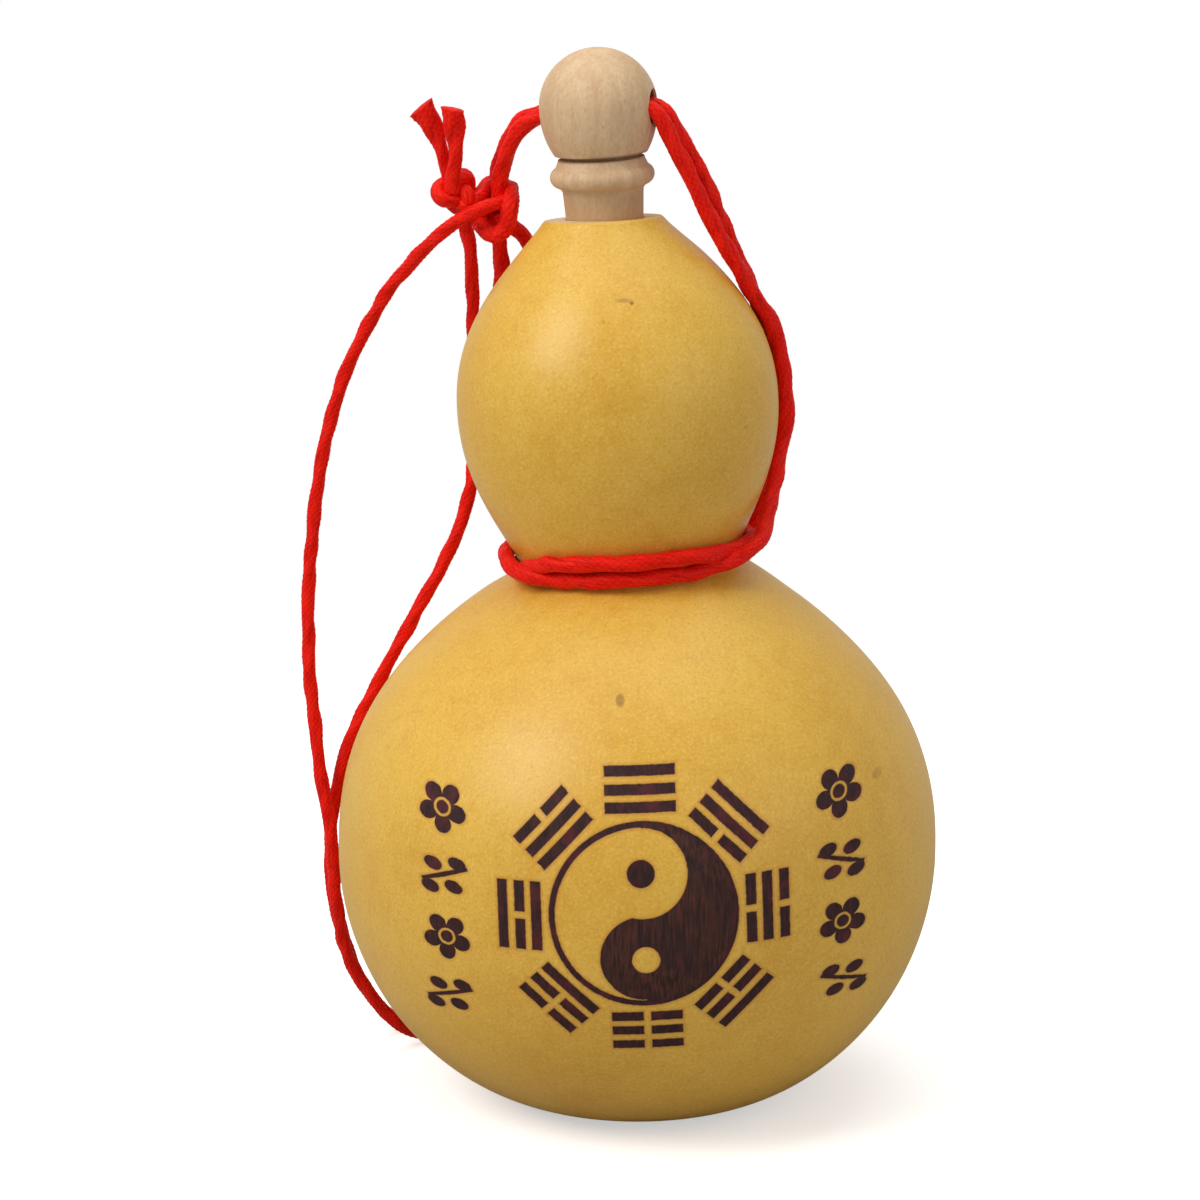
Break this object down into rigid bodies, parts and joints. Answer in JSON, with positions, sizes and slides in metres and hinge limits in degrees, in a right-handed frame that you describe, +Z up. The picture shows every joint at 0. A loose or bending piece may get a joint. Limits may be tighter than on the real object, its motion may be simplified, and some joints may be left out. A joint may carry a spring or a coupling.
{
  "type": "gourd water bottle",
  "caption": "Dried double gourd water bottle with burned ornament, a turned wooden stopper and a red braided cord with a hanging loop.",
  "frame": {"origin": "middle of the flat base that it stands on", "axes": "+Z up through the lower bulb, +X to the right as seen from the front, the upper bulb leans to -X, the front with the burned ornament faces -Y"},
  "size_m": [0.1106, 0.104, 0.1827],
  "materials": {
    "gourd_skin": "satin",
    "beeswax": "satin",
    "turned_wood": "satin",
    "red_cord": "matte"
  },
  "bodies": {
    "gourd": {"gourd_shell": "gourd_skin", "wax_lining": "beeswax", "waist_wrap": "red_cord", "back_tie": "red_cord", "tether_right": "red_cord", "tether_back": "red_cord", "hanging_loop": "red_cord"},
    "stopper": {"stopper": "turned_wood", "tether_top": "red_cord", "hitch_knot": "red_cord", "end_knot": "red_cord", "cord_tails": "red_cord"}
  },
  "joints": [
    {"name": "stopper_pull", "type": "slide", "parent": "gourd", "child": "stopper", "axis": [-0.0593, 0, 0.9982], "range_m": [0, 0.016], "deforming": ["tether_right", "tether_back", "hanging_loop"]}
  ]
}
